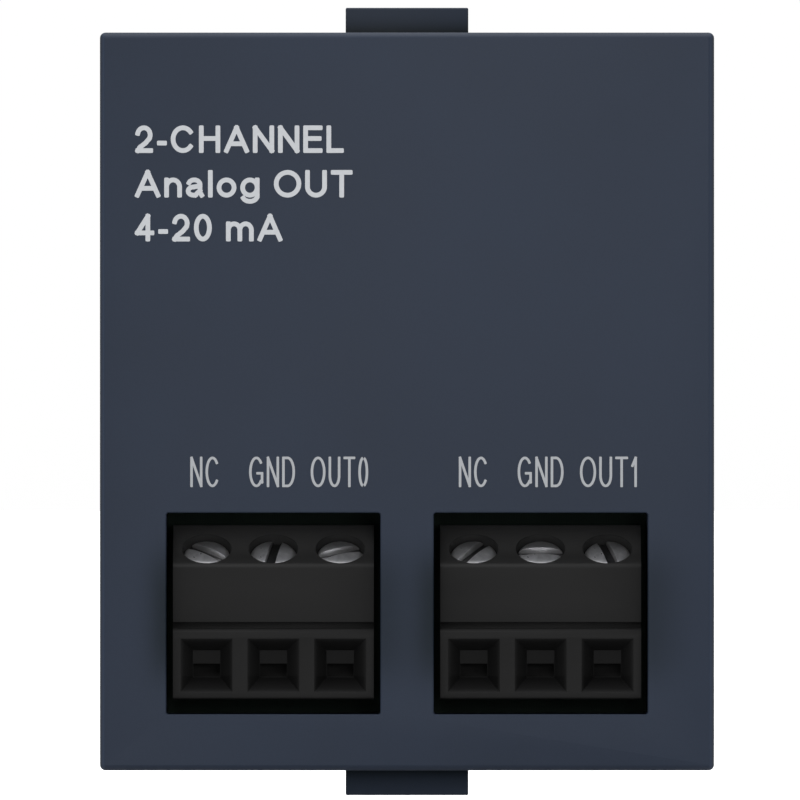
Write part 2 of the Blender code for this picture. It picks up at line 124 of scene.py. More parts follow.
# Terminal blocks, and one pole in its own frame: x across, y the way a wire goes in, z out along the screw
BLOCK_FACE_Y = -11.9
SLANT_END_Z = -9.28
GROOVE_TOP = -12.6
GROOVE_BOTTOM = -12.93
GROOVE_DEPTH = 0.6
HEAD_R = 1.285
HEAD_HOLE_R = 1.41
NECK_R = 1.09
HEAD_TOP = -0.12
HEAD_H = 1.0
HEAD_DOME = 0.13
HEAD_RIM = 0.23
CAGE_ROOM = ((-1.55, 1.55), (-1.27, 1.27), (-6.2, -1.4))
BAR_ROOM = ((-0.845, 0.845), (-3.1, 0.0), (-5.6, -4.1))
SHANK_R = 0.975
SCREW_TIP = -3.42
THREAD_PITCH = 0.4
SLOT_W = 0.6
SLOT_DEPTH = 0.5
SLOT_ANGLES = (-35, 79, 19, 52, 0, 107)
FUNNEL_W = 2.96
FUNNEL_H = 3.05
THROAT_W = 1.57
THROAT_H = 1.54
FUNNEL_DEPTH = 1.1
FUNNEL_GROW = 0.2  # how far the funnel's cutter runs on past its mouth, as a share of its depth
FUNNEL_Z = -15.06
THROAT_Z = -14.96
LIP_T = 0.35
LIP_END_Z = -14.95
ENTRY_ROOF_Z = -14.1
ENTRY_BACK_Y = -9.5

# Print
PRINT_T = 0.015
TITLE_STEM = 0.172
LABEL_STEM = 0.084
LABEL_GAP = 0.1
TITLE_CAP = 1.57
TITLE_X = -15.5
TITLE_LINES = (
    ("2-CHANNEL", 14.16, 11.9),
    ("Analog OUT", 11.62, 12.4),
    ("4-20 mA", 9.12, 8.4),
)
LABEL_CAP = 1.74
LABEL_BASE_Z = -4.88
LABELS = (
    ("NC", -11.52, 1.66),
    ("GND", -7.69, 2.62),
    ("OUT0", -3.85, 3.28),
    ("NC", 3.78, 1.66),
    ("GND", 7.61, 2.62),
    ("OUT1", 11.49, 3.28),
)


# ---- mesh helpers

COLLECTION = bpy.context.scene.collection


def placed(name, mesh, place=None):
    """Turns a bmesh in millimetres into an object."""
    bmesh.ops.recalc_face_normals(mesh, faces=mesh.faces)
    bmesh.ops.scale(mesh, vec=(MM, MM, MM), verts=mesh.verts)
    data = bpy.data.meshes.new(name)
    mesh.to_mesh(data)
    mesh.free()
    obj = bpy.data.objects.new(name, data)
    COLLECTION.objects.link(obj)
    if place is not None:
        obj.matrix_world = place
    return obj


def frame_at(x, y, z, tilt=0.0, spin=0.0):
    """A place in millimetres, tilted about X and then spun about its own Z."""
    return (
        Matrix.Translation(Vector((x, y, z)) * MM)
        @ Matrix.Rotation(tilt, 4, "X")
        @ Matrix.Rotation(spin, 4, "Z")
    )


def pole_frame(x, spin=0.0):
    return frame_at(x, SCREW_Y, SCREW_Z, SCREW_TILT, spin)


def box(name, x, y, z, place=None):
    """A box from three (low, high) spans."""
    mesh = bmesh.new()
    bmesh.ops.create_cube(mesh, size=1.0)
    size = [span[1] - span[0] for span in (x, y, z)]
    middle = [(span[1] + span[0]) / 2 for span in (x, y, z)]
    bmesh.ops.scale(mesh, vec=size, verts=mesh.verts)
    bmesh.ops.translate(mesh, vec=middle, verts=mesh.verts)
    return placed(name, mesh, place)


def prism(name, outline, axis, span, place=None):
    """An outline pushed along an axis. Its two numbers are the other two axes, in order."""
    mesh = bmesh.new()
    corners = [mesh.verts.new((*point[:axis], span[0], *point[axis:])) for point in outline]
    face = mesh.faces.new(corners)
    pushed = bmesh.ops.extrude_face_region(mesh, geom=[face])["geom"]
    way = [0.0, 0.0, 0.0]
    way[axis] = span[1] - span[0]
    bmesh.ops.translate(mesh, vec=way, verts=[g for g in pushed if isinstance(g, bmesh.types.BMVert)])
    return placed(name, mesh, place)


def rounded(corners, steps=6):
    """An outline from (a, b, radius) corners, each rounded by an arc of its radius."""
    outline = []
    for i, (a, b, radius) in enumerate(corners):
        here = Vector((a, b))
        if radius == 0:
            outline.append((a, b))
            continue
        back = (Vector(corners[i - 1][:2]) - here).normalized()
        on = (Vector(corners[(i + 1) % len(corners)][:2]) - here).normalized()
        half = back.angle(on) / 2
        centre = here + (back + on).normalized() * (radius / math.sin(half))
        start = here + back * (radius / math.tan(half)) - centre
        end = here + on * (radius / math.tan(half)) - centre
        turn = math.atan2(start.x * end.y - start.y * end.x, start.dot(end))
        for k in range(steps + 1):
            cos, sin = math.cos(turn * k / steps), math.sin(turn * k / steps)
            across = centre.x + start.x * cos - start.y * sin
            outline.append((across, centre.y + start.x * sin + start.y * cos))
    return outline


def oblong(width, height, radius, x=0.0, z=0.0, steps=6):
    """A rounded rectangle in X and Z."""
    w, h = width / 2, height / 2
    corners = [(x - w, z - h, radius), (x + w, z - h, radius), (x + w, z + h, radius), (x - w, z + h, radius)]
    return rounded(corners, steps)


def cylinder(name, radius, z, segments, place):
    mesh = bmesh.new()
    depth = z[1] - z[0]
    bmesh.ops.create_cone(mesh, cap_ends=True, segments=segments, radius1=radius, radius2=radius, depth=depth)
    bmesh.ops.translate(mesh, vec=(0, 0, (z[0] + z[1]) / 2), verts=mesh.verts)
    return placed(name, mesh, place)


def taper(name, near, far, y, z, x):
    """A box whose width and height change along Y: near and far are (width, height)."""
    mesh = bmesh.new()
    bmesh.ops.create_cube(mesh, size=1.0)
    for vert in mesh.verts:
        side = 0 if vert.co.y < 0 else 1
        width, height = (near, far)[side]
        vert.co = (x + vert.co.x * width, y[side], z[side] + vert.co.z * height)
    return placed(name, mesh)


def loft(name, sections, x=0.0, z=0.0):
    """A solid through rounded rectangles, each given as (y, width, height, radius)."""
    mesh = bmesh.new()
    rings = []
    for y, width, height, radius in sections:
        outline = oblong(width, height, radius, x, z, 4)
        rings.append([mesh.verts.new((a, y, b)) for a, b in outline])
    for near, far in zip(rings, rings[1:]):
        count = len(near)
        for k in range(count):
            after = (k + 1) % count
            mesh.faces.new((near[k], near[after], far[after], far[k]))
    mesh.faces.new(rings[0])
    mesh.faces.new(rings[-1])
    return placed(name, mesh)


def inset(width, height, *steps):
    """Sections for a loft. Each step is y, how much less wide and high it is, and its corner radius."""
    return [(y, width - less, height - less, radius) for y, less, radius in steps]


def lathe(name, profile, segments, place):
    """A round solid from (radius, z) points, from its top middle to its bottom middle."""
    mesh = bmesh.new()
    rings = []
    for radius, z in profile:
        if radius == 0:
            rings.append([mesh.verts.new((0, 0, z))])
            continue
        turns = [2 * math.pi * k / segments for k in range(segments)]
        rings.append([mesh.verts.new((radius * math.cos(t), radius * math.sin(t), z)) for t in turns])
    for upper, lower in zip(rings, rings[1:]):
        for k in range(segments):
            after = (k + 1) % segments
            near = (upper[k % len(upper)], lower[k % len(lower)])
            far = (lower[after % len(lower)], upper[after % len(upper)])
            mesh.faces.new(dict.fromkeys(near + far))
    return placed(name, mesh, place)


def boolean(obj, others, operation):
    for other in others:
        change = obj.modifiers.new(operation.lower(), "BOOLEAN")
        change.object = other
        change.operation = operation
        change.solver = "EXACT"
    return list(others)


def cut(obj, *tools):
    """Takes tools out of an object, in order, and returns them for settled to remove."""
    return boolean(obj, tools, "DIFFERENCE")


def join(obj, *tools):
    return boolean(obj, tools, "UNION")


def bevel(obj, width, segments, degrees):
    change = obj.modifiers.new("edges", "BEVEL")
    change.width = width * MM
    change.segments = segments
    change.limit_method = "ANGLE"
    change.angle_limit = math.radians(degrees)


def settled(obj, tools, degrees):
    """Applies an object's modifiers, removes its tools and shades its round faces smooth."""
    bpy.context.view_layer.update()
    graph = bpy.context.evaluated_depsgraph_get()
    data = bpy.data.meshes.new_from_object(obj.evaluated_get(graph))
    obj.modifiers.clear()
    obj.data = data
    for tool in tools:
        bpy.data.objects.remove(tool, do_unlink=True)
    for face in data.polygons:
        face.use_smooth = True
    data.set_sharp_from_angle(angle=math.radians(degrees))


def finished(obj, material, *nodes, slot=None, body="housing", edge=None, tools=(), degrees=35):
    """Bevels and settles a piece, gives it its material and body, and hides its CAD nodes."""
    if edge:
        bevel(obj, *edge)
    settled(obj, tools, degrees)
    obj.data.materials.clear()
    obj.data.materials.append(material)
    # Blender adds .001 to a material's name when the frame already has one by that name.
    slot or material.name.partition(".")[0]
    if nodes:
        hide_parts(*nodes)
    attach(obj, body)


# ---- materials


def scaled(tone, *shares):
    """A colour with every channel times one share, or each channel times its own."""
    return tuple(c * k for c, k in zip(tone, shares * 3))


class Look:
    """A node material on one Principled shader, with short ways to add the usual nodes."""

    def __init__(self, name, metallic=0.0, specular=0.5):
        self.material = bpy.data.materials.new(name)
        self.material.use_nodes = True
        self.tree = self.material.node_tree
        self.shader = self.tree.nodes["Principled BSDF"]
        self.shader.inputs["Metallic"].default_value = metallic
        self.shader.inputs["Specular IOR Level"].default_value = specular
        self.place = self.add("ShaderNodeTexCoord").outputs["Object"]

    def add(self, kind, **values):
        """A node, with each named input set to a value or linked from a socket."""
        node = self.tree.nodes.new(kind)
        for name, value in values.items():
            self.fill(node.inputs[name.replace("_", " ")], value)
        return node

    def fill(self, socket, value):
        """Links a socket, or sets it to a colour or a number."""
        if isinstance(value, bpy.types.NodeSocket):
            self.tree.links.new(value, socket)
        else:
            full_colour = isinstance(value, tuple) and socket.type == "RGBA"
            socket.default_value = (*value, 1.0) if full_colour else value

    def link(self, source, name):
        self.tree.links.new(source, self.shader.inputs[name])

    def stretched(self, x, y, z):
        """The object's coordinates, scaled along each axis."""
        return self.add("ShaderNodeMapping", Vector=self.place, Scale=(x, y, z)).outputs["Vector"]

    def noise(self, scale, detail=4.0, place=None):
        """Noise whose features are about 1 / scale millimetres across."""
        place = place or self.place
        values = {"Vector": place, "Scale": scale / MM, "Detail": detail, "Roughness": 0.55}
        return self.add("ShaderNodeTexNoise", **values).outputs["Fac"]

    def cells(self, scale):
        return self.add("ShaderNodeTexVoronoi", Vector=self.place, Scale=scale / MM).outputs["Distance"]

    def ramp(self, source, *stops):
        """Maps a 0 to 1 value through (position, colour or grey) stops."""
        node = self.add("ShaderNodeValToRGB", Fac=source)
        points = node.color_ramp.elements
        while len(points) < len(stops):
            points.new(0.5)
        for point, (position, tone) in zip(points, stops):
            point.position = position
            rgb = tone if isinstance(tone, tuple) else (tone, tone, tone)
            point.color = (*rgb, 1.0)
        return node.outputs["Color"]

    def maths(self, operation, first, second=0.0, third=None):
        node = self.tree.nodes.new("ShaderNodeMath")
        node.operation = operation
        for socket, value in zip(node.inputs, (first, second, third)):
            if value is not None:
                self.fill(socket, value)
        return node.outputs["Value"]

    def between(self, source, low, high):
        """Maps a 0 to 1 value onto low to high."""
        node = self.add("ShaderNodeMapRange", Value=source, To_Min=low, To_Max=high)
        return node.outputs["Result"]

    def mixed(self, share, first, second, blend="MIX"):
        """Mixes two colours by a share."""
        node = self.tree.nodes.new("ShaderNodeMix")
        node.data_type = "RGBA"
        node.blend_type = blend
        for i, value in ((0, share), (6, first), (7, second)):
            self.fill(node.inputs[i], value)
        return node.outputs[2]

    def axis(self, name):
        """One of the object's coordinates, in millimetres."""
        split = self.add("ShaderNodeSeparateXYZ", Vector=self.place)
        return self.maths("MULTIPLY", split.outputs[name], 1 / MM)

    def past(self, axis, value):
        """How far the surface lies past a value along an axis, in millimetres."""
        return self.maths("SUBTRACT", self.axis(axis), value)

    def below(self, axis, value):
        """One where the surface lies below a value along an axis, and nothing elsewhere."""
        return self.maths("LESS_THAN", self.axis(axis), value)

    def above(self, axis, value):
        return self.maths("GREATER_THAN", self.axis(axis), value)

    def times(self, product, *others):
        for other in others:
            product = self.maths("MULTIPLY", product, other)
        return product

    def share(self, distance, reach):
        """A distance as a share of a reach, kept from 0 to 1."""
        return self.add("ShaderNodeClamp", Value=self.maths("DIVIDE", distance, reach)).outputs["Result"]

    def fade(self, distance, reach):
        """One at no distance, falling to nothing at the reach."""
        return self.maths("MAXIMUM", self.maths("SUBTRACT", 1.0, self.maths("DIVIDE", distance, reach)), 0.0)

    def bump(self, height, strength, distance, under=None):
        """Bump of a height map: distance is the depth of a full step, in millimetres."""
        node = self.add("ShaderNodeBump", Height=height, Strength=strength, Distance=distance * MM)
        if under is not None:
            self.tree.links.new(under, node.inputs["Normal"])
        return node.outputs["Normal"]


SHADE_TINT = (0.04, 0.2, 0.24)
SHADE_REACH_Z = 3.6
SHADE_LEFT = (1.05, 0.94)  # how far it reaches from the window, and how deep it is
SHADE_RIGHT_MORE = (0.75, -0.3)
# The painted highlight and painted shade along the front's upright edges: their half width, the highlight's
# distance in from the side, and how far back from the front they reach.
EDGE_LINE_HALF = 0.09
EDGE_LINE_X = 0.2
EDGE_LINE_Y = 0.34
TAB_SHADE_TOP = 1.9
TAB_SHADE_REACH = 1.1


def shade_beside_windows(look):
    """A soft darkening of the face beside each window, deeper on its left and wider on its right."""
    along = look.maths("DIVIDE", look.past("Z", WINDOW_Z - 0.1), SHADE_REACH_Z)
    square = look.times(along, along)
    fall = look.times(square, square)
    total = 0.0
    for sign in (-1, 1):
        beyond = look.past("X", sign * BLOCK_X)
        right = look.maths("GREATER_THAN", beyond, 0.0)
        side = look.maths("SUBTRACT", look.maths("ABSOLUTE", beyond), WINDOW_W / 2)
        bend = zip(SHADE_RIGHT_MORE, SHADE_LEFT)
        reach, depth = (look.maths("MULTIPLY_ADD", right, more, left) for more, left in bend)
        across = look.maths("DIVIDE", look.maths("MAXIMUM", side, 0.0), reach)
        spread = look.maths("ADD", look.times(across, across), fall)
        total = look.maths("ADD", look.times(depth, look.maths("EXPONENT", look.times(spread, -1.0))), total)
    return total


def painted_edge_light(look):
    """Painted light down each upright edge of the front: a thin painted highlight on the rim and a thin painted
    shade round the corner.
    """
    out = look.maths("SUBTRACT", BODY_W / 2, look.maths("ABSOLUTE", look.axis("X")))
    front = look.below("Y", FRONT_Y + EDGE_LINE_Y)
    bright = look.fade(look.maths("ABSOLUTE", look.maths("SUBTRACT", out, EDGE_LINE_X)), EDGE_LINE_HALF)
    return look.times(bright, front), look.times(look.fade(out, EDGE_LINE_HALF), front)


def shade_at_tab_root(look):
    """A darkening of a latch tab where it comes out of the housing."""
    rise = look.maths("ABSOLUTE", look.axis("Z"))
    root = look.share(look.maths("SUBTRACT", TAB_SHADE_TOP, rise), TAB_SHADE_REACH)
    return look.times(root, root, look.maths("GREATER_THAN", rise, LATCH_T / 2 + 0.005))


def housing_look(name, tone, beside_windows=False, tab_root=False):
    """Matt moulded plastic with a fine spark-eroded texture."""
    look = Look(name, specular=0.12)
    cloud = look.noise(0.09, 3.0)
    fine = look.noise(7.0, 2.0)
    colour = look.ramp(cloud, (0.3, scaled(tone, 0.93)), (0.7, scaled(tone, 1.07)))
    colour = look.mixed(1.0, colour, look.ramp(fine, (0.35, 0.965), (0.65, 1.035)), "MULTIPLY")
    shade = None
    if beside_windows:
        shade = shade_beside_windows(look)
        # A painted highlight and a painted shade down the upright edges of the front.
        bright, dark = painted_edge_light(look)
        colour = look.mixed(bright, colour, scaled(tone, 1.45))
        colour = look.mixed(dark, colour, scaled(tone, 0.3))
    if tab_root:
        shade = shade_at_tab_root(look)
    if shade is not None:
        colour = look.mixed(shade, colour, scaled(tone, *SHADE_TINT))
    look.link(colour, "Base Color")
    blend = look.maths("ADD", look.times(fine, 0.5), look.times(cloud, 0.5))
    look.link(look.between(blend, 0.46, 0.62), "Roughness")
    coarse = look.bump(look.noise(2.2, 2.0), 0.08, 0.015)
    look.link(look.bump(look.cells(9.0), 0.1, 0.015, coarse), "Normal")
    return look.material


def glass_filled(look, tone, spread, roughness):
    """Gives a look the skin and pits of glass-filled plastic. Returns its colour, with flow marks."""
    flow = look.noise(0.5, 4.0, place=look.stretched(0.25, 1.0, 1.0))
    look.link(look.between(flow, *roughness), "Roughness")
    wave = look.bump(look.noise(0.9, 1.0), 0.12, 0.03)
    look.link(look.bump(look.noise(14.0, 2.0), 0.12, 0.01, wave), "Normal")
    return look.ramp(flow, (0.3, scaled(tone, 1 - spread)), (0.7, scaled(tone, 1 + spread)))


def black_plastic_look(name, tone, roughness):
    look = Look(name, specular=0.3)
    look.link(glass_filled(look, tone, 0.2, roughness), "Base Color")
    return look.material


def terminal_look(name, tone):
    """Black terminal plastic, with painted light on its upward faces and in its screw holes, a painted
    highlight on its bend, and painted shade on its lower section and down in the wire funnels.
    """
    look = Look(name, specular=0.05)
    colour = glass_filled(look, tone, 0.1, (0.4, 0.5))
    # Painted light: faces turned up, above the groove, are lighter, and lighter still the deeper back they lie.
    facing = look.add("ShaderNodeNewGeometry").outputs["Normal"]
    up = look.add("ShaderNodeSeparateXYZ", Vector=facing).outputs["Z"]
    upper = look.above("Z", GROOVE_TOP)
    painted_top_light = look.times(look.maths("MAXIMUM", up, 0.0), upper)
    painted_light_depth = look.share(look.past("Y", BLOCK_FACE_Y + 0.6), 2.4)
    colour = look.mixed(look.times(painted_top_light, 0.95), colour, look.mixed(painted_light_depth, scaled(tone, 2.1), scaled(tone, 6.0)))
    # Painted light inside the screw holes, under the slant.
    rise = look.times(look.past("Z", SLANT_END_Z), math.cos(SCREW_TILT))
    back = look.times(look.past("Y", BLOCK_FACE_Y), math.sin(SCREW_TILT))
    under_slant = look.maths("LESS_THAN", look.maths("SUBTRACT", rise, back), -0.04)
    painted_hole_light = look.times(under_slant, look.above("Y", BLOCK_FACE_Y + 0.1), upper)
    colour = look.mixed(look.times(painted_hole_light, 0.9), colour, scaled(tone, 2.2))
    # A painted highlight along the rounded bend below the slant.
    bend = look.maths("ABSOLUTE", look.past("Z", SLANT_END_Z - 0.02))
    painted_bend_highlight = look.times(look.fade(bend, 0.22), look.below("Y", BLOCK_FACE_Y + 0.3))
    colour = look.mixed(painted_bend_highlight, colour, scaled(tone, 2.1))
    # Painted shade on the lower section, below the groove.
    lower = look.below("Z", GROOVE_BOTTOM - 0.5)
    funnel = look.times(look.share(look.past("Y", LEFT_LOW.y + 0.03), 0.25), lower, 0.72)
    colour = look.mixed(look.times(lower, 0.25), colour, scaled(tone, 0.4))
    # Painted shade down in the wire funnels, deepest on their lower slopes.
    slope = look.times(look.below("Z", FUNNEL_Z - 0.6), 0.95)
    colour = look.mixed(look.times(funnel, slope), colour, scaled(tone, 0.05))
    look.link(look.mixed(funnel, colour, scaled(tone, 0.2)), "Base Color")
    return look.material


def metal_look(name, tone, roughness, brushed, tarnish=None):
    """Plated metal with fine tool marks and a little tarnish."""
    look = Look(name, metallic=1.0)
    marks = look.noise(6.0, 3.0, place=look.stretched(*brushed))
    cloud = look.noise(0.8, 3.0)
    dull = tarnish or scaled(tone, 0.72)
    look.link(look.ramp(cloud, (0.38, dull), (0.62, tone)), "Base Color")
    look.link(look.between(marks, *roughness), "Roughness")
    look.link(look.bump(marks, 0.25, 0.012), "Normal")
    return look.material


def print_look(name, tone):
    """Pad-printed light grey ink, slightly uneven."""
    look = Look(name, specular=0.25)
    fine = look.noise(5.0, 3.0)
    look.link(look.ramp(fine, (0.3, scaled(tone, 0.93)), (0.7, tone)), "Base Color")
    look.link(look.between(fine, 0.5, 0.62), "Roughness")
    look.link(look.bump(fine, 0.1, 0.01), "Normal")
    return look.material


def board_look(name):
    """A nearly black matt solder mask over a woven laminate, with copper runs showing faintly."""
    look = Look(name, specular=0.15)
    weave = look.add("ShaderNodeTexWave", Vector=look.place, Scale=2.2 / MM, Distortion=0.6)
    copper = look.add("ShaderNodeTexBrick", Vector=look.place, Scale=0.5 / MM, Mortar_Size=0.06)
    base = look.ramp(weave.outputs["Fac"], (0.2, (0.005, 0.011, 0.008)), (0.8, (0.006, 0.015, 0.01)))
    look.link(look.mixed(copper.outputs["Fac"], (0.009, 0.022, 0.014), base), "Base Color")
    look.link(look.between(look.noise(1.0), 0.62, 0.75), "Roughness")
    look.link(look.bump(weave.outputs["Fac"], 0.1, 0.01), "Normal")
    return look.material


def screw_look(name):
    """Matt zinc-plated steel with turning marks, and painted shade over the upper part of the head and from the
    driver slot downwards.
    """
    look = Look(name, metallic=0.9)
    # Painted shade from a little below the head's top downwards: it darkens the slot's floor, the side and
    # underside of the head and the whole shank.
    depth = look.maths("SUBTRACT", HEAD_TOP, look.axis("Z"))
    slot = look.share(look.maths("SUBTRACT", depth, HEAD_DOME + HEAD_RIM + 0.03), 0.12)
    marks = look.noise(5.0, 3.0)
    plate = look.ramp(look.noise(1.6, 3.0), (0.36, (0.72, 0.72, 0.735)), (0.66, (0.95, 0.95, 0.965)))
    # Painted shade over the upper part of the head; it lies in the screw's own frame, so it turns with the
    # screw.
    upper = look.share(look.past("Y", -0.25), 0.9)
    plate = look.mixed(look.times(upper, 0.6), plate, (0.3, 0.3, 0.305))
    look.link(look.mixed(slot, plate, (0.014, 0.0135, 0.0145)), "Base Color")
    look.link(look.between(marks, 0.24, 0.36), "Roughness")
    look.link(look.bump(marks, 0.15, 0.006), "Normal")
    return look.material


HOUSING_TONE = (0.0112, 0.0164, 0.0278)
# The latches are a darker copy of the housing colour: painted shade for their place set back behind the front.
LATCH_SHADED_TONE = (0.0092, 0.0140, 0.0235)
housing = housing_look("housing_front", HOUSING_TONE, True)
housing_plain = housing_look("housing_plain", HOUSING_TONE)
housing_latch = housing_look("housing_latch", LATCH_SHADED_TONE, tab_root=True)
# The lower latch is a lighter copy of the latch colour: painted light, for light it would get from below.
housing_latch_painted_lighter = housing_look("housing_latch_painted_lighter", scaled(LATCH_SHADED_TONE, 1.8), tab_root=True)
terminal_black = terminal_look("terminal_black", (0.0081, 0.0081, 0.0081))
header_black = black_plastic_look("header_black", (0.009, 0.009, 0.0095), (0.38, 0.5))
chip_black = black_plastic_look("chip_black", (0.012, 0.012, 0.013), (0.5, 0.65))
ferrite = black_plastic_look("ferrite_grey", (0.03, 0.03, 0.032), (0.55, 0.7))
capacitor_yellow = black_plastic_look("capacitor_yellow", (0.5, 0.27, 0.03), (0.35, 0.5))
screw_steel = screw_look("screw_steel")
cage_steel = metal_look("cage_steel", (0.6, 0.59, 0.56), (0.25, 0.45), (1.0, 3.0, 1.0))
tinned_copper = metal_look("tinned_copper", (0.66, 0.64, 0.6), (0.3, 0.45), (3.0, 1.0, 1.0))
pin_gold = metal_look("pin_gold", (0.83, 0.6, 0.24), (0.18, 0.3), (4.0, 0.4, 4.0), (0.72, 0.5, 0.19))
print_title = print_look("print_title", (0.350, 0.362, 0.378))
print_label = print_look("print_label", (0.25, 0.26, 0.273))
board_green = board_look("board_green")


# ---- housing


def weight_front_edges(obj):
    """Marks the edges around the front face for the bevel, and those at the seam for a small part of it."""
    weights = obj.data.attributes.new("bevel_weight_edge", "FLOAT", "EDGE")
    for side in obj.data.edges:
        ends = [obj.data.vertices[i].co.y for i in side.vertices]
        at_front = max(ends) < (FRONT_Y + 0.01) * MM
        at_seam = min(ends) > (COVER_HIGH.y - 0.01) * MM
        weights.data[side.index].value = 1.0 if at_front else SEAM_SHARE * at_seam


def front_cover():
    cover = prism("front_housing", oblong(BODY_W, BODY_H, CORNER_R), 1, (FRONT_Y, COVER_HIGH.y))
    weight_front_edges(cover)
    edge = cover.modifiers.new("front edge", "BEVEL")
    edge.width = FRONT_EDGE_R * MM
    edge.segments = 6
    edge.profile = 0.36
    edge.limit_method = "WEIGHT"
    inner = oblong(BODY_W - 2 * WALL, BODY_H - 2 * WALL, 0.3)
    tools = cut(cover, prism("tool", inner, 1, (FRONT_Y + FRONT_WALL, 1.0)))
    for sign in (-1, 1):
        outline = oblong(WINDOW_W + 2 * SKIRT_WALL, WINDOW_H + 2 * SKIRT_WALL, 0.5, sign * BLOCK_X, WINDOW_Z)
        tools += join(cover, prism("tool", outline, 1, (FRONT_Y + FRONT_WALL / 2, SKIRT_END_Y)))
    for sign in (-1, 1):
        steps = ((FRONT_Y - 0.5, -0.8, 0.5), (FRONT_Y - 0.05, -0.2, 0.24), (FRONT_Y + 0.06, 0, 0.14))
        mouth = inset(WINDOW_W, WINDOW_H, *steps, (SKIRT_END_Y + 1, 0, 0.14))
        slot_z = sorted((sign * (BODY_H / 2 - WALL - 0.5), sign * (BODY_H / 2 + 1)))
        slot = box("tool", (-SLOT_HALF, SLOT_HALF), (LATCH_AXIS_Y - LATCH_T / 2 - 0.1, 1.0), slot_z)
        tools += cut(cover, loft("tool", mouth, sign * BLOCK_X, WINDOW_Z), slot)
    finished(cover, housing, "front_cover", slot="housing", tools=tools)


front_cover()


def rear_cover():
    """A plate with a lip and a seat behind the seam, a chamfered opening, a panel and ejector marks."""
    front = ((-REAR_PLATE, 0.24, CORNER_R - 0.1), (-REAR_PLATE + 0.12, 0, CORNER_R))
    back = ((-0.3, 0, CORNER_R), (-0.1, 0.12, CORNER_R), (0.0, 0.5, CORNER_R - 0.05))
    cover = loft("rear_housing", inset(BODY_W, BODY_H, *front, *back))
    lip_w = BODY_W - 2 * WALL - 0.2
    lip_h = BODY_H - 2 * WALL - 0.2
    lip = prism("tool", oblong(lip_w, lip_h, 0.25), 1, (REAR_LOW.y, -REAR_PLATE + 0.5))
    ring = oblong(BODY_W - SEAT_INSET, BODY_H - SEAT_INSET, 0.3)
    tools = join(cover, lip, prism("tool", ring, 1, (COVER_HIGH.y, -REAR_PLATE + 0.4)))
    inner_w = lip_w - 2 * LIP_WALL
    inner_h = lip_h - 2 * LIP_WALL
    inner = loft("tool", [(REAR_LOW.y - 1, inner_w, inner_h, 0.2), (-REAR_PLATE, inner_w, inner_h, 0.2)])
    plug_z, plug_w, plug_h = sizes_of("host_connector")[3:]
    mouth = inset(plug_w, plug_h, (-5.0, -0.4, 0.4), (-0.25, -0.4, 0.4), (0.2, -1.3, 0.8))
    panel = loft("tool", inset(PANEL_W, PANEL_H, (-0.22, 0, 0.9), (0.3, -0.4, 1.1)), 0.0, PANEL_Z)
    tools += cut(cover, inner, loft("tool", mouth, 0.0, plug_z), panel)
    for sign in (-1, 1):
        notch_z = sorted((sign * LATCH_ROOM_Z, sign * (BODY_H / 2 + 1)))
        tools += cut(cover, box("tool", (-SLOT_HALF, SLOT_HALF), (-5.0, 1.0), notch_z))
        for mark_z in MARK_Z:
            turned = frame_at(sign * MARK_X, 0, mark_z, math.pi / 2)
            tools += cut(cover, cylinder("tool", MARK_R, (-0.5, 0.09), 40, turned))
    finished(cover, housing_plain, "rear_cover", slot="housing", tools=tools)


rear_cover()


def latch(node, body, sign):
    """A snap arm: rounded root, flat arm, catch tab with a ramp behind it."""
    half = LATCH_T / 2
    end = LATCH_HIGH.y - LATCH_AXIS_Y
    catch = CATCH_Y - LATCH_AXIS_Y
    top = LATCH_HIGH.z - LATCH_AXIS_Z
    outline = rounded(
        [
            (-half, -half, half * 0.99),
            (catch, -half, 0.3),
            (end, -half + LATCH_TIP_RISE, 0.15),
            (end, half - 0.15, 0.15),
            (catch + 0.85, top, 0.2),
            (catch, top, 0.12),
            (catch, half, 0.12),
            (-half, half, half * 0.99),
        ]
    )
    outline = [(y, sign * z) for y, z in outline]
    place = frame_at(0, LATCH_AXIS_Y, sign * LATCH_AXIS_Z)
    arm = prism(node + "_arm", outline, 0, (-LATCH_W / 2, LATCH_W / 2), place)
    material = housing_latch if sign > 0 else housing_latch_painted_lighter
    finished(arm, material, node, slot="housing", body=body, edge=(0.1, 3, 60))


latch("top_latch", "top_latch", 1)
latch("bottom_latch", "bottom_latch", -1)


# ---- terminal blocks


def block_outline():
    """The side view of a terminal block, in Y and Z."""
    slant = math.tan(math.pi / 2 - SCREW_TILT)
    top, bottom = LEFT_HIGH.z, LEFT_LOW.z
    lower_y = LEFT_LOW.y
    return rounded(
        [
            (LEFT_HIGH.y, top, 0),
            (BLOCK_FACE_Y + (top - SLANT_END_Z) * slant, top, 0.12),
            (BLOCK_FACE_Y, SLANT_END_Z, 0.34),
            (BLOCK_FACE_Y, GROOVE_TOP, 0.05),
            (BLOCK_FACE_Y + GROOVE_DEPTH, GROOVE_TOP, 0),
            (BLOCK_FACE_Y + GROOVE_DEPTH, GROOVE_BOTTOM, 0),
            (lower_y, GROOVE_BOTTOM, 0.24),
            (lower_y, bottom, 0.16),
            (LEFT_HIGH.y, bottom, 0),
        ]
    )


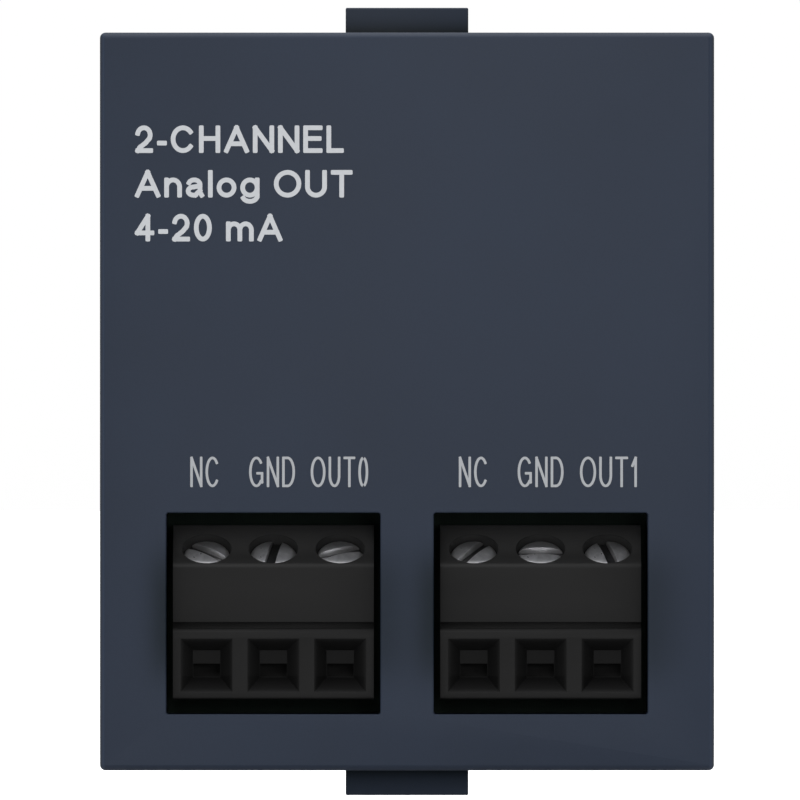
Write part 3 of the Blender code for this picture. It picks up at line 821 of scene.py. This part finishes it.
def terminal_block(name, centre, node):
    lower_y = LEFT_LOW.y
    throat_y = lower_y + FUNNEL_DEPTH
    block = prism(name, block_outline(), 0, (centre - BLOCK_W / 2, centre + BLOCK_W / 2))
    sizes = ((FUNNEL_W, THROAT_W), (FUNNEL_H, THROAT_H))
    near = [size + (size - throat) * FUNNEL_GROW for size, throat in sizes]
    depth = (lower_y - FUNNEL_DEPTH * FUNNEL_GROW, throat_y)
    floor_z = THROAT_Z - THROAT_H / 2
    tools = []
    for k in (-1, 0, 1):
        x = centre + k * PITCH
        place = pole_frame(x)
        lip_x = (x - THROAT_W / 2 + 0.02, x + THROAT_W / 2 - 0.02)
        way_x = (x - THROAT_W / 2 - 0.1, x + THROAT_W / 2 + 0.1)
        tools += cut(
            block,
            cylinder("tool", HEAD_HOLE_R, (HEAD_TOP - HEAD_H - 0.08, 2.0), 64, place),
            cylinder("tool", NECK_R, (-2.0, -1.0), 32, place),
            box("tool", *CAGE_ROOM, place),
            box("tool", *BAR_ROOM, place),
            box("tool", lip_x, (throat_y - 0.1, ENTRY_BACK_Y - 0.2), (floor_z + 0.02, LIP_END_Z)),
            box("tool", way_x, (throat_y + LIP_T, ENTRY_BACK_Y), (floor_z - 0.05, ENTRY_ROOF_Z)),
            taper("tool", near, (THROAT_W, THROAT_H), depth, (FUNNEL_Z, THROAT_Z), x),
        )
    finished(block, terminal_black, node, edge=(0.05, 2, 40), tools=tools)


terminal_block("terminal_housing_left", -BLOCK_X, "terminal_block_left")
terminal_block("terminal_housing_right", BLOCK_X, "terminal_block_right")


def terminal_screw(number, x, angle):
    """A slotted screw with a domed head and a threaded shank."""
    top = HEAD_TOP
    under = top - HEAD_H
    place = pole_frame(x)
    profile = [(0.0, top)]
    flat = HEAD_R - HEAD_RIM
    for k in range(1, 5):
        profile.append((flat * k / 4, top - HEAD_DOME * (k / 4) ** 2))
    low = top - HEAD_DOME
    for out, down in ((0.05, 0.03), (0.12, 0.1), (0.19, 0.18), (HEAD_RIM, 0.24)):
        profile.append((flat + out, low - down))
    profile += [(HEAD_R, under + 0.05), (HEAD_R - 0.05, under), (SHANK_R - 0.12, under)]
    turns = int((under - SCREW_TIP - 0.3) / (THREAD_PITCH / 2))
    for k in range(turns):
        radius = SHANK_R if k % 2 == 0 else SHANK_R - 0.16
        profile.append((radius, under - 0.1 - k * THREAD_PITCH / 2))
    profile += [(SHANK_R - 0.3, SCREW_TIP), (0.0, SCREW_TIP)]
    screw = lathe(f"screw_{number}", profile, 72, place)
    turned = pole_frame(x, math.radians(angle))
    tools = cut(screw, box("tool", (-2.0, 2.0), (-SLOT_W / 2, SLOT_W / 2), (top - SLOT_DEPTH, 1.0), turned))
    node, body = f"terminal_screw_{number}", f"screw_{number}"
    finished(screw, screw_steel, node, body=body, edge=(0.035, 2, 50), tools=tools)


for number, (pole_x, angle) in enumerate(zip(POLE_X, SLOT_ANGLES), 1):
    terminal_screw(number, pole_x, angle)


# ---- connector and pins

PLUG_WALL = 0.85
PLUG_FLOOR_Y = -0.7
PIN_HOLE = 0.7


def header():
    """The shrouded header: chamfered mouth, key slot, and a floor with a lead-in around each pin."""
    low, high, _, middle, width, height = sizes_of("host_connector")
    ends = ((low.y, 0.1, 0.25), (low.y + 0.05, 0, 0.3), (high.y - 0.12, 0, 0.3), (high.y, 0.22, 0.2))
    shroud = loft("host_header", inset(width, height, *ends), 0.0, middle)
    hollow_w = width - 2 * PLUG_WALL
    hollow_h = height - 2 * PLUG_WALL
    depths = ((PLUG_FLOOR_Y, 0, 0.15), (high.y - 0.4, 0, 0.15), (high.y + 0.1, -0.62, 0.3))
    hollow = inset(hollow_w, hollow_h, *depths)
    key = box("tool", (-1.2, 1.2), (0.6, high.y + 1), (high.z - PLUG_WALL - 0.3, high.z + 0.5))
    tools = cut(shroud, loft("tool", hollow, 0.0, middle), key)
    cone = ((-6.0, 0, 0.04), (PLUG_FLOOR_Y - 0.15, 0, 0.04), (PLUG_FLOOR_Y + 0.2, PIN_HOLE - 1.35, 0.1))
    lead_in = inset(PIN_HOLE, PIN_HOLE, *cone)
    for number in range(1, 11):
        x, z = sizes_of(f"host_pin_{number:02d}")[2:4]
        tools += cut(shroud, loft("tool", lead_in, x, z))
    finished(shroud, header_black, "host_connector", edge=(0.04, 2, 40), tools=tools)


header()

for number in range(1, 11):
    node = f"host_pin_{number:02d}"
    low, high, x, z, side, _ = sizes_of(node)
    foot = ((low.y, side * 0.45, 0.05), (low.y + 0.2, 0, 0.05))
    tip = ((high.y - 0.45, 0, 0.05), (high.y - 0.08, side * 0.5, 0.05), (high.y, side * 0.66, 0.04))
    pin = loft(f"contact_pin_{number:02d}", inset(side, side, *foot, *tip), x, z)
    finished(pin, pin_gold, node)


# ---- board and its parts

BOARD_FACE_Y = BOARD_LOW.y
LEADED = {
    "digital_isolator": (8, 1.27, 0.42, 1.0),
    "converter_chip": (7, 0.65, 0.25, 0.8),
    "output_amplifier_1": (3, 1.27, 0.42, 0.95),
    "output_amplifier_2": (3, 1.27, 0.42, 0.95),
    "regulator_chip": (4, 0.65, 0.3, 0.8),
}


def gull_wings(node, count, pitch, width, reach):
    """Formed leads on both long sides of a chip, down to the board."""
    low, high = span_of(node)
    middle = (low.z + high.z) / 2
    joint_y = (low.y + high.y) / 2
    foot = BOARD_FACE_Y - 0.02
    mesh = bmesh.new()
    for sign, edge in ((-1, low.x), (1, high.x)):
        line = [(-0.3, joint_y), (0.28, joint_y), (0.45, foot - 0.14), (reach, foot - 0.14)]
        under = [(reach, foot), (0.34, foot), (0.17, joint_y + 0.14), (-0.3, joint_y + 0.14)]
        for k in range(count):
            z = middle + (k - (count - 1) / 2) * pitch
            rings = [
                [mesh.verts.new((edge + sign * a, b, z + side)) for a, b in line + under]
                for side in (-width / 2, width / 2)
            ]
            size = len(rings[0])
            # The outline is a strip of three quads, so each cap is made of quads too.
            for ring in rings:
                for a in range(3):
                    mesh.faces.new((ring[a], ring[a + 1], ring[size - 2 - a], ring[size - 1 - a]))
            for a in range(size):
                b = (a + 1) % size
                mesh.faces.new((rings[0][a], rings[0][b], rings[1][b], rings[1][a]))
    leads = placed(node + "_leads", mesh)
    finished(leads, tinned_copper, edge=(0.025, 1, 50))


def chip(node):
    """A moulded package: draft on its four sides and a round pin-one mark."""
    low, high, x, z, width, height = sizes_of(node)
    waist = (low.y + high.y) / 2
    steps = ((low.y, 0.3, 0.12), (waist - 0.08, 0, 0.12), (waist + 0.08, 0, 0.12), (high.y, 0.2, 0.12))
    body = loft(node + "_body", inset(width, height, *steps), x, z)
    dot = frame_at(low.x + 0.75, low.y, high.z - 0.75, math.pi / 2)
    tools = cut(body, cylinder("tool", 0.3, (-0.06, 0.4), 28, dot))
    finished(body, chip_black, node, edge=(0.04, 2, 30), tools=tools)


for node, leads in LEADED.items():
    chip(node)
    gull_wings(node, *leads)


def tantalum(node):
    """A moulded capacitor with its polarity bar as a shallow step."""
    low, high, x, z, width, height = sizes_of(node)
    steps = ((low.y, 0.22, 0.1), ((low.y + high.y) / 2, 0, 0.12), (high.y, 0.16, 0.1))
    body = loft(node + "_body", inset(width, height, *steps), x, z)
    across, up = (low.x + 0.15, low.x + 0.75), (low.z - 1, high.z + 1)
    if width <= height:
        across, up = (low.x - 1, high.x + 1), (high.z - 0.75, high.z - 0.15)
    tools = cut(body, box("tool", across, (low.y - 0.3, low.y + 0.05), up))
    finished(body, capacitor_yellow, node, edge=(0.05, 2, 30), tools=tools)


for node in ("tantalum_capacitor_1", "tantalum_capacitor_2"):
    tantalum(node)


def inductor():
    """A shielded inductor: a square sleeve round a drum core."""
    low, high, x, z, side, _ = sizes_of("power_inductor")
    steps = ((low.y, 0.2, 0.5), (low.y + 0.1, 0, 0.5), (high.y, 0, 0.5))
    body = loft("power_inductor_body", inset(side, side, *steps), x, z)
    profile = [(1.2, 0.3), (1.2, -0.35), (1.5, -0.35), (1.5, 0.3), (1.2, 0.3)]
    tools = cut(body, lathe("tool", profile, 56, frame_at(x, low.y, z, math.pi / 2)))
    finished(body, ferrite, "power_inductor", slot="ferrite", edge=(0.05, 2, 40), tools=tools)


def transformer():
    """A small isolating transformer: a split ferrite core on a flanged bobbin."""
    low, high, x, z, width, height = sizes_of("transformer")
    sections = [
        (low.y, width - 0.3, height - 2.0, 0.3),
        (low.y + 0.15, width, height - 1.7, 0.4),
        (high.y, width, height - 1.7, 0.4),
    ]
    core = loft("transformer_core", sections, x, z)
    tools = []
    for y, depth in ((high.y, 1.2), (low.y + 1.2, 1.0)):
        flange = loft("tool", [(y - depth, width - 0.4, height, 0.3), (y, width - 0.4, height, 0.3)], x, z)
        tools += join(core, flange)
    tools += cut(core, box("tool", (x - 0.06, x + 0.06), (low.y - 1, low.y + 0.12), (low.z - 1, high.z + 1)))
    finished(core, ferrite, "transformer", slot="ferrite", edge=(0.06, 2, 40), tools=tools)


inductor()
transformer()


def solder():
    """Fillets around each header pin and each terminal tail on the board."""
    joints = [(f"host_pin_{n:02d}", BOARD_FACE_Y, 1, 0.62) for n in range(1, 11)]
    joints += [(f"contact_bar_{n}", BOARD_HIGH.y, -1, 0.85) for n in range(1, 7)]
    for node, face_y, way, radius in joints:
        x, z = sizes_of(node)[2:4]
        turned = frame_at(x, face_y, z if way == 1 else TAIL_Z, way * math.pi / 2)
        profile = [(0.0, 0.3), (radius * 0.42, 0.3), (radius * 0.55, 0.17), (radius * 0.8, 0.06), (radius, 0.0)]
        joint = lathe(f"solder_{node}", profile + [(radius, -0.02), (0.0, -0.02)], 28, turned)
        finished(joint, tinned_copper, degrees=60)


solder()

KEPT = {"circuit_board": (board_green, 0.08)}
KEPT.update({f"clamp_cage_{n}": (cage_steel, 0.06) for n in range(1, 7)})
KEPT.update({f"contact_bar_{n}": (tinned_copper, 0.06) for n in range(1, 7)})
for node, (material, edge) in KEPT.items():
    obj = frame["nodes"][node]
    obj.data.materials.clear()
    obj.data.materials.append(material)
    bevel(obj, edge, 2, 40)


# ---- print

# Each glyph is its width in cap heights and its pen strokes. A stroke is a line, u0 v0 u1 v1, or
# a bow, cu cv ru rv start end. From 0 to 1, u runs across the glyph and v from its base to its cap.
X_LINE = 0.668
ARCH = 0.28
FULL_BOW = (0.5, 0.5, 0.5, 0.5, 0, 360)
LEFT_STEM = (0, 0, 0, 1)
RIGHT_STEM = (1, 0, 1, 1)
MIDDLE_STEM = (0.5, 0, 0.5, 1)
FOOT = (0, 0, 1, 0)
CAP_BAR = (0, 1, 1, 1)
X_BOWL = (0.5, X_LINE / 2, 0.5, X_LINE / 2, 0, 360)
A_LINES = ((0, 0, 0.5, 1), (0.5, 1, 1, 0), (0.19, 0.3, 0.81, 0.3))
D_LINES = (LEFT_STEM, (0, 0, 0.4, 0), (0, 1, 0.4, 1), (0.4, 0.5, 0.6, 0.5, -90, 90))
TWO_BOW = (0.49, 0.69, 0.47, 0.31, 168, -32)
TWO_LINES = ((0.89, 0.526, 0.62, 0.34), (0.62, 0.34, 0.2, 0.14), (0.2, 0.14, 0.03, 0.0), (0.03, 0.0, 1.0, 0.0))
G_LINES = ((0.6, 0.45, 0.97, 0.45), (0.97, 0.45, 0.97, 0.13), (0.97, 0.13, 0.87, 0.165))
SMALL_A_STEM = ((0.87, 0.12, 0.87, X_LINE - 0.2), (0.87, 0.12, 1.0, 0.0))
SMALL_A_TOP = ((0.45, X_LINE - 0.2, 0.42, 0.2, 0, 158), *SMALL_A_STEM)
SMALL_A_BOWL = ((0.87, 0.41, 0.4, 0.36), (0.4, 0.18, 0.4, 0.18, 90, 290), (0.54, 0.01, 0.87, 0.2))
M_STEMS = ((0, 0, 0, X_LINE), (0.5, 0, 0.5, X_LINE - ARCH), (1, 0, 1, X_LINE - ARCH))
M_ARCHES = ((0.25, X_LINE - ARCH, 0.25, ARCH, 0, 180), (0.75, X_LINE - ARCH, 0.25, ARCH, 0, 180))
GLYPHS = {
    " ": (0.26, ()),
    "-": (0.4, ((0.0, 0.33, 1.0, 0.33),)),
    "0": (0.72, (FULL_BOW,)),
    "1": (0.42, ((0.85, 0, 0.85, 1), (0.85, 1, 0.0, 0.72))),
    "2": (0.73, (TWO_BOW, *TWO_LINES)),
    "4": (0.78, ((0.72, 0, 0.72, 1), (0.72, 1, 0.0, 0.27), (0.0, 0.27, 1.0, 0.27))),
    "A": (1.0, A_LINES),
    "C": (0.98, ((0.5, 0.5, 0.5, 0.5, 40, 320),)),
    "D": (0.9, D_LINES),
    "E": (0.78, (LEFT_STEM, FOOT, (0, 0.53, 0.93, 0.53), CAP_BAR)),
    "G": (1.02, ((0.5, 0.5, 0.5, 0.5, 42, 318), *G_LINES)),
    "H": (0.86, (LEFT_STEM, RIGHT_STEM, (0, 0.53, 1, 0.53))),
    "L": (0.7, (LEFT_STEM, FOOT)),
    "N": (0.86, (LEFT_STEM, RIGHT_STEM, (0, 1, 1, 0))),
    "O": (1.08, (FULL_BOW,)),
    "T": (0.86, (MIDDLE_STEM, CAP_BAR)),
    "U": (0.86, ((0, 0.37, 0, 1), (1, 0.37, 1, 1), (0.5, 0.37, 0.5, 0.37, 180, 360))),
    "a": (0.72, SMALL_A_TOP + SMALL_A_BOWL),
    "g": (0.76, (X_BOWL, (1, -0.05, 1, X_LINE), (0.5, -0.03, 0.5, 0.24, 205, 360))),
    "l": (0.19, (MIDDLE_STEM,)),
    "m": (1.12, M_STEMS + M_ARCHES),
    "n": (0.7, ((0, 0, 0, X_LINE), (1, 0, 1, 0.36), (0.5, 0.36, 0.5, X_LINE - 0.36, 0, 180))),
    "o": (0.78, (X_BOWL,)),
}
END_SIDES = 20
END_POWER = 0.42
DEGREES_A_STEP = 8


def inside(point, patch):
    """Whether a point lies in a convex patch."""
    turns = []
    for a, b in zip(patch, patch[1:] + patch[:1]):
        turns.append((b.x - a.x) * (point.y - a.y) - (b.y - a.y) * (point.x - a.x))
    return min(turns) >= -1e-9 or max(turns) <= 1e-9


class Lettering:
    """A line of letters drawn with a round-cornered pen. Each glyph is a list of overlapping flat patches."""

    def __init__(self, text, cap, stem, gap, width):
        self.cap = cap
        self.stem = stem
        self.glyphs = []
        widths = sum(GLYPHS[c][0] for c in text) * cap
        gaps = gap * cap * (len(text) - 1)
        self.squeeze = (width - gaps) / widths
        self.pen = 0.0
        for character in text:
            self.glyph_w = GLYPHS[character][0] * cap * self.squeeze
            self.patches = []
            for stroke in GLYPHS[character][1]:
                self.drag([self.at(u, v) for u, v in self.path(stroke)])
            self.pen += self.glyph_w + gap * cap
            if self.patches:
                self.glyphs.append(self.patches)

    def at(self, u, v):
        """The pen's middle for a place in the glyph."""
        half = self.stem / 2
        return Vector((self.pen + half + u * (self.glyph_w - self.stem), half + v * (self.cap - self.stem)))

    def path(self, stroke):
        if len(stroke) == 4:
            return [stroke[:2], stroke[2:]]
        cu, cv, ru, rv, start, end = stroke
        steps = max(6, int(abs(end - start) / DEGREES_A_STEP))
        angles = [math.radians(start + (end - start) * k / steps) for k in range(steps + 1)]
        return [(cu + ru * math.cos(a), cv + rv * math.sin(a)) for a in angles]

    def drag(self, path):
        """Drags the pen along a path."""
        half = self.stem / 2
        ring = (path[0] - path[-1]).length < 1e-6
        rails = []
        for k, here in enumerate(path):
            before = path[k - 1] if k else (path[-2] if ring else here)
            after = path[k + 1] if k + 1 < len(path) else (path[1] if ring else here)
            way = (after - before).normalized()
            side = Vector((-way.y, way.x)) * half
            rails.append((here - side, here + side))
        for (a, b), (c, d) in zip(rails, rails[1:]):
            self.patches.append([a, b, d, c])
        if not ring:
            self.end(path[0], path[0] - path[1])
            self.end(path[-1], path[-1] - path[-2])

    def end(self, middle, way):
        """A stroke's end, between round and square."""
        half = self.stem / 2
        along = way.normalized() * half
        across = Vector((-along.y, along.x))
        corners = []
        for k in range(END_SIDES):
            turn = 2 * math.pi * (k + 0.5) / END_SIDES
            ends = [math.copysign(abs(c) ** END_POWER, c) for c in (math.cos(turn), math.sin(turn))]
            corners.append(middle + along * ends[0] + across * ends[1])
        self.patches.append(corners)

    def unions(self):
        """Each glyph's joined outline, as points and triangles."""
        for patches in self.glyphs:
            points = [p for patch in patches for p in patch]
            loops = []
            first = 0
            for patch in patches:
                loops.append(list(range(first, first + len(patch))))
                first += len(patch)
            corners, _, faces = delaunay_2d_cdt(points, [], loops, 0, 1e-5)[:3]
            middles = [sum((corners[i] for i in face), Vector((0, 0))) / len(face) for face in faces]
            covered = [any(inside(middle, patch) for patch in patches) for middle in middles]
            yield corners, [face for face, kept in zip(faces, covered) if kept]


def printed(name, ink, text, x, z, cap, width, stem, gap=0.14, centred=False):
    """Prints a line on the front face. X is its left end, or its middle if it is centred."""
    left = x - width / 2 if centred else x
    mesh = bmesh.new()
    for points, triangles in Lettering(text, cap, stem, gap, width).unions():
        corners = [mesh.verts.new((left + p.x, FRONT_Y - PRINT_T, z + p.y)) for p in points]
        for triangle in triangles:
            mesh.faces.new([corners[i] for i in triangle])
    loose = [corner for corner in mesh.verts if not corner.link_faces]
    bmesh.ops.delete(mesh, geom=loose, context="VERTS")
    skin = list(mesh.faces)
    under = bmesh.ops.extrude_face_region(mesh, geom=skin, use_keep_orig=True)["geom"]
    sunk = [g for g in under if isinstance(g, bmesh.types.BMVert)]
    bmesh.ops.translate(mesh, vec=(0, PRINT_T * 1.4, 0), verts=sunk)
    obj = placed(name, mesh)
    finished(obj, ink, slot="housing", degrees=20)


for number, (text, z, width) in enumerate(TITLE_LINES, 1):
    pen = (TITLE_CAP, width, TITLE_STEM * TITLE_CAP)
    printed(f"print_title_{number}", print_title, text, TITLE_X, z, *pen)
for number, (text, x, width) in enumerate(LABELS, 1):
    pen = (LABEL_CAP, width, LABEL_STEM * LABEL_CAP, LABEL_GAP)
    printed(f"print_label_{number}", print_label, text, x, LABEL_BASE_Z, *pen, centred=True)


# ---- stage, light and camera

FLOOR_GAP = 0.43
SKY = ((0.0, 0.6, 0.61), (0.5, 1.0, 1.0), (0.78, 1.08, 1.09), (1.0, 3.0, 3.06))  # height, grey, blue
LIGHTS = (
    ("key_front", (-60, -260, 120), (0, -10, 0), 150, 0.33),
    ("fill_front", (40, -300, 12), (0, -10, -4), 60, 0.12),
    ("top", (0, 10, 300), (0, 0, 0), 110, 0.33),
    ("fill_rear", (120, 220, 120), (0, -6, 0), 160, 0.08),
)
VIEW_W = 45.58
VIEW_X = -0.4
VIEW_Z = 0.085
LENS = 1200.0
SENSOR = 36.0


def stage():
    """A plain pale floor under the lower latch."""
    mesh = bmesh.new()
    bmesh.ops.create_grid(mesh, x_segments=1, y_segments=1, size=4000)
    bmesh.ops.translate(mesh, vec=(0, 0, -LATCH_HIGH.z - FLOOR_GAP), verts=mesh.verts)
    floor = placed("floor", mesh)
    look = Look("floor_pale", specular=0.1)
    look.link(look.ramp(look.noise(0.02), (0.3, 0.86), (0.7, 0.9)), "Base Color")
    look.link(look.between(look.noise(0.05), 0.7, 0.8), "Roughness")
    floor.data.materials.append(look.material)
    floor.visible_diffuse = False


def area_light(name, place, aim, size, power):
    """A soft light at a place in millimetres."""
    data = bpy.data.lights.new(name, "AREA")
    data.shape = "DISK"
    data.size = size * MM
    data.energy = power
    light = bpy.data.objects.new(name, data)
    COLLECTION.objects.link(light)
    light.location = Vector(place) * MM
    light.rotation_euler = (Vector(aim) - Vector(place)).to_track_quat("-Z", "Y").to_euler()


def studio():
    """Soft light from all round, stronger from above."""
    world = bpy.data.worlds.new("studio")
    world.use_nodes = True
    tree = world.node_tree
    kinds = ("TexCoord", "SeparateXYZ", "MapRange", "ValToRGB")
    way, split, height, fade = (tree.nodes.new("ShaderNode" + kind) for kind in kinds)
    height.inputs["From Min"].default_value = -1.0
    stops = fade.color_ramp.elements
    while len(stops) < len(SKY):
        stops.new(0.5)
    for stop, (place, grey, blue) in zip(stops, SKY):
        stop.position = place
        stop.color = (grey, grey, blue, 1)
    tree.links.new(way.outputs["Generated"], split.inputs["Vector"])
    tree.links.new(split.outputs["Z"], height.inputs["Value"])
    tree.links.new(height.outputs["Result"], fade.inputs["Fac"])
    tree.links.new(fade.outputs["Color"], tree.nodes["Background"].inputs["Color"])
    bpy.context.scene.world = world
    for light in LIGHTS:
        area_light(*light)


def camera():
    """A long lens square to the front, with the body a little right of the middle and low."""
    data = bpy.data.cameras.new("camera")
    data.lens = LENS
    data.sensor_width = SENSOR
    distance = VIEW_W / 2 / (SENSOR / 2 / LENS)
    data.clip_start = 0.01
    data.clip_end = 10.0
    eye = bpy.data.objects.new("camera", data)
    COLLECTION.objects.link(eye)
    eye.location = Vector((VIEW_X, FRONT_Y - distance, VIEW_Z)) * MM
    eye.rotation_euler = (math.pi / 2, 0, 0)
    bpy.context.scene.camera = eye


stage()
studio()
camera()
bpy.context.scene.view_settings.view_transform = "Standard"

bpy.context.view_layer.update()
